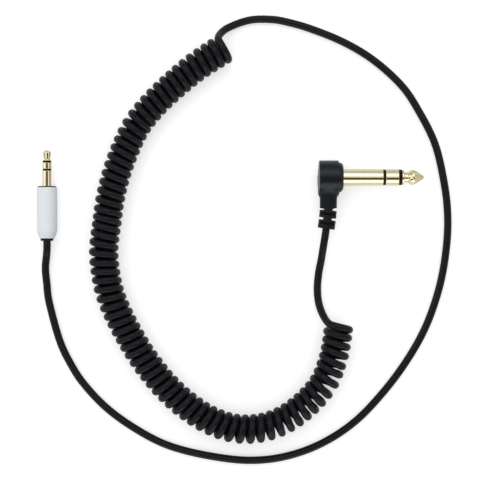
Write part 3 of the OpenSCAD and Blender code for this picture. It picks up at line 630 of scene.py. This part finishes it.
# Roundings of the head's and the neck's edges, and the width of the fillet between them
HEAD_EDGE = 0.2
NECK_EDGE = 0.18
NECK_BLEND = 2.0
# Where the housing is looked for, and the step of the grid
HOUSING_BOX = (-4.6, -12.2, -7.0), (6.1, 7.0, 7.0)
HOUSING_STEP = 0.14

JACK_R = 3.175
JACK_FRONT = front_stations(sleeve=15.3, band=1, ring=5, tip_band=1.25, tip=8.4)
JACK_BACK = back_stations(wall=1.2, flange=1, lug=0.4, washer=0.6)
JACK_FIT = 0.03
JACK_RADII = stack_radii(rod=0.95, wall=0.4, gap=JACK_FIT)


def at_jack(p):
    return np.asarray(p, float) + JACK_POS


def at_contacts(p):
    return np.asarray(p, float) + JACK_POS + (SHOULDER, 0, 0)


contacts("jack", at_contacts, GOLD_X, FINE_SIDES, JACK_FRONT, JACK_BACK, JACK_RADII, JACK_FIT,
         r=JACK_R, edge=0.18, root_edge=0.03, band_r=3.0, band_edge=0.08, flange_r=4.2,
         flange_edge=0.1)


BULB_POINTS = 18
NOSE_POINTS = 10


def jack_tip_outline():
    """A collar, a waist, a bulb and a cone from there to the rounded end."""
    base, end = JACK_FRONT[3:5]
    collar_r, waist_r, bulb_r, end_r = 2.85, 2, 2.95, 0.6
    collar_end, waist, bulb_x = base + 0.7, base + 1, base + 4.4
    # The bulb begins at the waist's radius and ends a little beyond its widest place
    first, last = math.asin(waist_r / bulb_r), math.pi / 2 + 0.1
    bulb = [(bulb_x - bulb_r * math.cos(w), bulb_r * math.sin(w))
            for w in np.linspace(first, last, BULB_POINTS)]
    rod = rod_outline(JACK_RADII, JACK_FRONT, JACK_BACK, rivet_r=1.35, rivet_t=0.5, edge=0.2)
    return (rod + [(base, collar_r, 0.15), (collar_end, collar_r, 0.15), (waist, waist_r, 0.1)]
            + bulb + [(end, end_r, 0.45), (end, 0)])


lathe("jack_tip_gold", at_contacts, jack_tip_outline(), GOLD_X, FINE_SIDES)


def mirrored(outline):
    """An outline on one side of the axis, carried on along its other side."""
    return outline + [(x, -r) for x, r in reversed(outline) if r > ON_AXIS]


def head_outline(inset):
    """The head's outline, a rounding's radius inside its surface."""
    dome = [(-(HEAD_BACK + DOME_H) + DOME_H * (k / DOME_STEPS) ** 2 + inset,
             (HEAD_R - inset) * k / DOME_STEPS) for k in range(DOME_STEPS + 1)]
    step = [(HEAD_FRONT - inset, HEAD_R - inset), (HEAD_FRONT - inset, NOSE_R - inset)]
    arc = NOSE_ROUND - inset
    nose = [(SHOULDER - NOSE_ROUND + arc * math.sin(w), NOSE_R - NOSE_ROUND + arc * math.cos(w))
            for w in np.linspace(0, math.pi / 2, NOSE_POINTS)]
    return dome + step + nose + [(SHOULDER - inset, 0)]


def housing(p):
    """Signed distance to the head and the neck, which widens smoothly into it."""
    x, y, z = p.T
    outline = mirrored(head_outline(HEAD_EDGE))
    head = outline_distance(x, np.hypot(y, z), outline) - HEAD_EDGE
    neck = rounded_rod(np.hypot(x, z), y - NECK_END / 2, NECK_R, -NECK_END / 2, NECK_EDGE)
    return smooth_union(head, neck, NECK_BLEND)


verts, faces = surface(housing, *HOUSING_BOX, HOUSING_STEP)
make("jack_housing_shell", at_jack(verts), faces, HOUSING, sharp=0)

# ---------------------------------------------------------------- strain relief

RELIEF_R = 3.3
SLOTS = 4
SLOT_W = 0.85
RING_T = 1.0
END_T = 1.5
PITCH = SLOT_W + RING_T
RING_EDGE = 0.16
RING_BLEND = 0.15
# The bars between the rings: their width, how far they sink into the rings and keep inside the
# rings' surface, and a half length that reaches past it
BAR_W = 3.1
BAR_SINK = 0.3
BAR_SHY = 0.03
BAR_REACH = 4.0
# Rounding of the bars and of the spigot
BAR_EDGE = 0.1
# The spigot inside the neck: its radius, where its middle is, and half its length
SPIGOT_R = 2.4
SPIGOT_Y = 0.9
SPIGOT_HALF = 0.7
CORD_BORE_R = 1.44
# Where the relief is looked for, and the step of the grid
RELIEF_BOX = (-3.6, -8.0, -3.6), (3.6, 1.9, 3.6)
RELIEF_STEP = 0.115

KINK_Y = NECK_END - SLOT_W / 2
# The kink is spread over a short length about the middle of the first slot
KINK = math.radians(RELIEF_KINK)
KINK_SPREAD = 0.6
BEND = math.radians(RELIEF_BEND)
ARC_L = SLOTS * SLOT_W + (SLOTS - 1) * RING_T + END_T - SLOT_W / 2
ARC_R = ARC_L / BEND

# The cord inside the relief starts this far up in the neck, and is thin enough to clear the
# relief's bore
TAIL_TOP = 4.7
TAIL_POINTS = 26
TAIL_SHY = 0.005
TAIL_SIDES = 24


def relief(p):
    """Signed distance to the relief before it is bent: its axis is Y, and its first slot's
    middle is at 0."""
    x, y, z = p.T
    across = np.hypot(x, z)
    d = rounded_rod(across, y - SPIGOT_Y, SPIGOT_R, SPIGOT_HALF, BAR_EDGE)
    for k in range(SLOTS):
        thick = END_T if k == SLOTS - 1 else RING_T
        middle = -(SLOT_W / 2 + k * PITCH + thick / 2)
        ring = rounded_rod(across, y - middle, RELIEF_R, thick / 2, RING_EDGE)
        half = [BAR_W / 2, SLOT_W / 2 + BAR_SINK, BAR_REACH]
        if k % 2:
            half.reverse()
        bar = rounded_box(p + (0, k * PITCH, 0), half, BAR_EDGE)
        bar = np.maximum(bar, across - RELIEF_R + BAR_SHY)
        d = smooth_union(np.minimum(d, bar), ring, RING_BLEND)
    return np.maximum(d, CORD_BORE_R - across)


def bent(p):
    """Points on the relief's straight axis, moved to its bent one."""
    x, y, z = np.asarray(p, float).T
    w = np.maximum(-y, 0) / ARC_L * BEND
    px = -ARC_R * (1 - np.cos(w)) + x * np.cos(w)
    py = -ARC_R * np.sin(w) + np.maximum(y, 0) - x * np.sin(w)
    lean = KINK * np.clip((KINK_SPREAD / 2 - y) / KINK_SPREAD, 0, 1)
    c, s = np.cos(-lean), np.sin(-lean)
    return np.stack([px * c - py * s, px * s + py * c + KINK_Y, z], 1)


verts, faces = surface(relief, *RELIEF_BOX, RELIEF_STEP)
jack_relief = make("strain_relief_rings", at_jack(bent(verts)), faces, RELIEF, sharp=0)

tail_line = bent([(0, y, 0) for y in np.linspace(TAIL_TOP, -ARC_L, TAIL_POINTS)])
verts, faces = tube(tail_line, CORD_D / 2 - TAIL_SHY, TAIL_SIDES)
jack_tail = make("jack_cord_in_relief", at_jack(verts), faces, CORD, TUBE_SHARP)

# ---------------------------------------------------------------- small plug

MINI_R = 1.75
WASHER_T = 0.45
WASHER_R = 3.6
BARREL_R = 3.95
BARREL_L = 19.7
BARREL_BORE_R = 3.15
TAPER_L = 2.7
TAPER_R = 2.85
COLLAR_R = 2.5
COLLAR_L = 0.95
# The collar's spigot, which goes into the barrel's end, and its bore around the cord
MINI_SPIGOT_R = 1.955
MINI_SPIGOT_L = 3.1
MINI_CORD_R = 1.455
MINI_FRONT = front_stations(sleeve=6, band=0.7, ring=2.4, tip_band=0.75, tip=4.15)
MINI_BACK = back_stations(wall=WASHER_T, flange=1, lug=0.3, washer=0.4)
MINI_FIT = 0.02
MINI_RADII = stack_radii(rod=0.4, wall=0.2, gap=MINI_FIT)
MINI_POS = np.array(MINI_EXIT) + (0, WASHER_T + BARREL_L + COLLAR_L, 0)
BARREL_END = -WASHER_T - BARREL_L
SPIGOT_TOP = BARREL_END + MINI_SPIGOT_L


def at_mini(p):
    """From the plug's own axis, X, to its place in the frame, where it points along Y."""
    p = np.asarray(p, float)
    return np.stack([-p[:, 1], p[:, 0], p[:, 2]], 1) + MINI_POS


contacts("mini", at_mini, GOLD_Y, LATHE_SIDES, MINI_FRONT, MINI_BACK, MINI_RADII, MINI_FIT,
         r=MINI_R, edge=0.12, root_edge=0.02, band_r=1.65, band_edge=0.05,
         flange_r=BARREL_BORE_R - MINI_FIT, flange_edge=0.05)


def mini_tip_outline():
    """A collar, a waist, a cone that widens from there, and a round nose."""
    base, end = MINI_FRONT[3:5]
    collar_r, waist_r, shoulder_r, nose_r = MINI_R - 0.1, 1.15, 1.15, 0.55
    rod = rod_outline(MINI_RADII, MINI_FRONT, MINI_BACK, rivet_r=0.75, rivet_t=0.35, edge=0.1)
    return rod + [
        (base, collar_r, 0.08), (base + 0.2, collar_r, 0.05), (base + 0.5, waist_r, 0.2),
        (base + 2.9, MINI_R - 0.02, 0.5), (base + 3.25, MINI_R - 0.03, 0.4),
        (end - 0.25, shoulder_r, 0.35), (end, nose_r, 0.15), (end, 0),
    ]


lathe("mini_tip_gold", at_mini, mini_tip_outline(), GOLD_Y)
WASHER_BORE_R = MINI_R - SLEEVE_STEP + MINI_FIT
lathe("mini_front_ring", at_mini, [
    (-WASHER_T, WASHER_BORE_R), (-WASHER_T, WASHER_R, 0.03), (0, WASHER_R, 0.12),
    (0, WASHER_BORE_R),
], WASHER)
lathe("mini_barrel_shell", at_mini, [
    (BARREL_END, MINI_SPIGOT_R + MINI_FIT), (BARREL_END, TAPER_R, 0.25),
    (BARREL_END + TAPER_L, BARREL_R, 1.2), (-WASHER_T, BARREL_R, 0.45),
    (-WASHER_T, BARREL_BORE_R), (SPIGOT_TOP, BARREL_BORE_R),
    (SPIGOT_TOP, MINI_SPIGOT_R + MINI_FIT),
], BARREL, FINE_SIDES)
lathe("mini_collar_ring", at_mini, [
    (BARREL_END - COLLAR_L, MINI_CORD_R), (BARREL_END - COLLAR_L, COLLAR_R, 0.3),
    (BARREL_END, COLLAR_R), (BARREL_END, MINI_SPIGOT_R), (SPIGOT_TOP, MINI_SPIGOT_R),
    (SPIGOT_TOP, MINI_CORD_R),
], TRIM)

# ---------------------------------------------------------------- what each piece rides on

GOLD_SLOT = "gold_contact"
for piece, body, slot, node in (
    ("jack_sleeve_gold", "jack", GOLD_SLOT, "jack_sleeve"),
    ("jack_ring_insulator_band", "jack", "contact_insulator", "jack_ring_insulator"),
    ("jack_ring_gold", "jack", GOLD_SLOT, "jack_ring"),
    ("jack_tip_insulator_band", "jack", "contact_insulator", "jack_tip_insulator"),
    ("jack_tip_gold", "jack", GOLD_SLOT, "jack_tip"),
    ("jack_housing_shell", "jack", "black_housing", "jack_housing"),
    ("mini_sleeve_gold", "cable", GOLD_SLOT, "mini_sleeve"),
    ("mini_ring_insulator_band", "cable", "contact_insulator", "mini_ring_insulator"),
    ("mini_ring_gold", "cable", GOLD_SLOT, "mini_ring"),
    ("mini_tip_insulator_band", "cable", "contact_insulator", "mini_tip_insulator"),
    ("mini_tip_gold", "cable", GOLD_SLOT, "mini_tip"),
    ("mini_front_ring", "cable", "black_trim", "mini_front_washer"),
    ("mini_barrel_shell", "cable", "white_barrel", "mini_barrel"),
    ("mini_collar_ring", "cable", "black_trim", "mini_collar"),
):
    dress(bpy.data.objects[piece], body, slot, node)

# The relief and the cord in it, bent where they run between the cable and the jack, ride on no body:
# their places are baked into their meshes, and the CAD nodes they stand for are hidden
for obj, slot, node in (
    (jack_relief, "relief_rubber", "strain_relief"),
    (jack_tail, "cord_jacket", "jack_cord_tail"),
):
    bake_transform(obj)
    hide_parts(node)

# The solids take their materials from their slots
INSIDE = {
    "tinned_lug": TINNED, "white_insulator": WHITE, "inner_moulding": INNER, "core_white": CORE_WHITE,
    "core_red": CORE_RED, "core_green": CORE_GREEN, "cord_jacket": CORD, "gold_contact": GOLD_Y,
    "contact_insulator": BAND, "black_trim": TRIM, "white_barrel": BARREL, "black_housing": HOUSING,
    "relief_rubber": RELIEF,
}
for part in frame["record"]["subparts"]:
    mesh = frame["nodes"][part["node"]].data
    mesh.materials.clear()
    mesh.materials.append(INSIDE[part["material_slot"]])

# ---------------------------------------------------------------- floor

FLOOR_HALF = 3000
FLOOR_GREY = (0.8, 0.8, 0.8)
FLOOR_GLOW = 0.43
# Share of the glow that gloss reflects
GLOSSY_GLOW = 0.15
# Scale of the floor's unevenness, and how far it darkens the grey
FLOOR_SCALE = 12
FLOOR_DIM = 0.99


def white_for_camera(name, color, glow):
    """A pale floor that keeps its shadows, and that the camera sees a little brighter."""
    m = bpy.data.materials.new(name)
    m.use_nodes = True
    nodes, links = m.node_tree.nodes, m.node_tree.links
    nodes.clear()
    out = nodes.new("ShaderNodeOutputMaterial")
    diffuse = nodes.new("ShaderNodeBsdfDiffuse")
    bounce = nodes.new("ShaderNodeBsdfDiffuse")
    bounce.inputs["Color"].default_value = (*color, 1)
    coords = nodes.new("ShaderNodeTexCoord")
    noise = nodes.new("ShaderNodeTexNoise")
    noise.inputs["Scale"].default_value = FLOOR_SCALE
    ramp = nodes.new("ShaderNodeValToRGB")
    ramp.color_ramp.elements[0].color = [*[c * FLOOR_DIM for c in color], 1]
    ramp.color_ramp.elements[1].color = [*color, 1]
    links.new(coords.outputs["Object"], noise.inputs["Vector"])
    links.new(noise.outputs["Fac"], ramp.inputs["Fac"])
    links.new(ramp.outputs["Color"], diffuse.inputs["Color"])
    emission = nodes.new("ShaderNodeEmission")
    path = nodes.new("ShaderNodeLightPath")
    strength = nodes.new("ShaderNodeMath")
    strength.operation = "MULTIPLY"
    strength.inputs[1].default_value = glow
    seen = nodes.new("ShaderNodeMath")
    seen.operation = "MULTIPLY_ADD"
    seen.inputs[1].default_value = GLOSSY_GLOW
    links.new(path.outputs["Is Glossy Ray"], seen.inputs[0])
    links.new(path.outputs["Is Camera Ray"], seen.inputs[2])
    links.new(seen.outputs[0], strength.inputs[0])
    links.new(strength.outputs[0], emission.inputs["Strength"])
    lit = nodes.new("ShaderNodeMixShader")
    links.new(path.outputs["Is Camera Ray"], lit.inputs[0])
    links.new(bounce.outputs[0], lit.inputs[1])
    links.new(diffuse.outputs[0], lit.inputs[2])
    add = nodes.new("ShaderNodeAddShader")
    links.new(lit.outputs[0], add.inputs[0])
    links.new(emission.outputs[0], add.inputs[1])
    links.new(add.outputs[0], out.inputs["Surface"])
    return m


floor_corners = [(x * FLOOR_HALF, y * FLOOR_HALF, 0) for x, y in ((-1, -1), (1, -1), (1, 1), (-1, 1))]
floor = make("floor", floor_corners, [(0, 1, 2, 3)],
             white_for_camera("floor", FLOOR_GREY, FLOOR_GLOW), sharp=0)

# ---------------------------------------------------------------- sky

world = bpy.data.worlds.new("sky")
bpy.context.scene.world = world
world.use_nodes = True
sky_nodes, sky_links = world.node_tree.nodes, world.node_tree.links
sky_nodes.clear()


def sky_math(operation, *inputs, clamp=False):
    n = sky_nodes.new("ShaderNodeMath")
    n.operation = operation
    n.use_clamp = clamp
    for socket, value in zip(n.inputs, inputs):
        if isinstance(value, (int, float)):
            socket.default_value = value
        else:
            sky_links.new(value, socket)
    return n.outputs[0]


def sky_ramp(fac, stops):
    """A colour that follows fac through (position, colour) stops."""
    n = sky_nodes.new("ShaderNodeValToRGB")
    elements = n.color_ramp.elements
    while len(elements) < len(stops):
        elements.new(0.5)
    for e, (position, color) in zip(elements, stops):
        e.position = position
        e.color = (*color, 1) if isinstance(color, tuple) else (color, color, color, 1)
    sky_links.new(fac, n.inputs["Fac"])
    return n.outputs["Color"]


def sky_background(color, strength):
    """A sky of a colour, or a white one where there is none."""
    n = sky_nodes.new("ShaderNodeBackground")
    n.inputs["Strength"].default_value = strength
    if color is None:
        n.inputs["Color"].default_value = (1, 1, 1, 1)
    else:
        sky_links.new(color, n.inputs["Color"])
    return n.outputs[0]


def sky_mix(fac, a, b):
    n = sky_nodes.new("ShaderNodeMixShader")
    sky_links.new(fac, n.inputs[0])
    sky_links.new(a, n.inputs[1])
    sky_links.new(b, n.inputs[2])
    return n.outputs[0]


axes = sky_nodes.new("ShaderNodeSeparateXYZ")
sky_links.new(sky_nodes.new("ShaderNodeTexCoord").outputs["Generated"], axes.inputs[0])
way_x, way_y, way_z = axes.outputs


def weighed(wx, wy, wz, offset=0.0):
    """A sum of the three parts of a direction, each with its own weight."""
    total = sky_math("MULTIPLY_ADD", way_x, wx, offset)
    total = sky_math("MULTIPLY_ADD", way_y, wy, total)
    return sky_math("MULTIPLY_ADD", way_z, wz, total)


# Each sky's colour follows a weighed sum of the three parts of a direction, and an offset.
# What lights the object: a pale room, a little brighter from above and behind
ROOM_WAY = (-0.08, 0.22, 0.40, 0.42)
ROOM_STOPS = [(0.0, 0.4), (0.5, 0.78), (1.0, 1.15)]
ROOM_LIGHT = 1.0

# What gloss reflects: soft boxes on all sides, darker low down, with dark gaps between them and
# one bright box low in front
BOX_WAY = (-0.25, -0.30, 1.0)
BOX_STOPS = [
    (0.0, (0.42, 0.42, 0.35)), (0.22, (0.56, 0.56, 0.52)), (0.34, (0.62, 0.62, 0.58)),
    (0.48, (0.92, 0.92, 0.90)), (0.60, (1, 1, 1)), (1.0, (1, 1, 1)),
]
BOX_LIGHT = 1.2
DARK_STOPS = [(0.0, 0.3), (0.3, 0.04), (1.0, (0.085, 0.067, 0.04))]
DARK_LIGHT = 1.0
# Each gap is a middle and a half width along X, and the same along Y, of a direction. The
# second one holds the direction straight up, where the camera hangs, and the first begins
# beside it
GAPS = (
    (0.30, 0.35, -0.36, 0.26),
    (-0.21, 0.27, 0.03, 0.12),
    (0.35, 0.235, 0.03, 0.12),
    (-0.85, 0.10, -0.20, 0.20),
    (-0.42, 0.25, 0.60, 0.19),
    (-0.42, 0.25, -0.60, 0.19),
)
GAP_EDGE = 0.05
LOW_BOX = (0.0, 1.2, -0.86, 0.11)
LOW_BOX_LIGHT = 1.9

# What the camera sees behind the floor
BACKDROP_LIGHT = 1.0


def inside_gap(x, half_x, y, half_y):
    """1 inside a gap, 0 outside it, soft between."""
    short = [
        sky_math("SUBTRACT", half, sky_math("ABSOLUTE", sky_math("SUBTRACT", along, middle)))
        for along, middle, half in ((way_x, x, half_x), (way_y, y, half_y))
    ]
    return sky_math("MULTIPLY_ADD", sky_math("MINIMUM", *short), 1 / GAP_EDGE, 0.5, clamp=True)


room = sky_background(sky_ramp(weighed(*ROOM_WAY), ROOM_STOPS), ROOM_LIGHT)
boxes = sky_background(sky_ramp(weighed(*BOX_WAY), BOX_STOPS), BOX_LIGHT)
low_box = sky_background(None, LOW_BOX_LIGHT)
dark = sky_background(sky_ramp(way_z, DARK_STOPS), DARK_LIGHT)
gap = inside_gap(*GAPS[0])
for more in GAPS[1:]:
    gap = sky_math("MAXIMUM", gap, inside_gap(*more))
reflected = sky_mix(gap, sky_mix(inside_gap(*LOW_BOX), boxes, low_box), dark)
backdrop = sky_background(None, BACKDROP_LIGHT)
paths = sky_nodes.new("ShaderNodeLightPath").outputs
lighting = sky_mix(paths["Is Glossy Ray"], room, reflected)
sky_out = sky_nodes.new("ShaderNodeOutputWorld")
sky_links.new(sky_mix(paths["Is Camera Ray"], lighting, backdrop), sky_out.inputs["Surface"])

# ---------------------------------------------------------------- lamp

LAMP_POS = (-200, 600, 800)
LAMP_TARGET = (0, -20, 0)
LAMP_SIZE = (800, 700)
LAMP_POWER = 0.8

lamp_data = bpy.data.lights.new("key", "AREA")
lamp_data.shape = "RECTANGLE"
lamp_data.size, lamp_data.size_y = (s * MM for s in LAMP_SIZE)
lamp_data.energy = LAMP_POWER
lamp = bpy.data.objects.new("key", lamp_data)
bpy.context.scene.collection.objects.link(lamp)
lamp.location = [c * MM for c in LAMP_POS]
lamp_way = Vector(LAMP_TARGET) - Vector(LAMP_POS)
lamp.rotation_euler = lamp_way.to_track_quat("-Z", "Y").to_euler()

bpy.context.scene.view_settings.view_transform = "Standard"
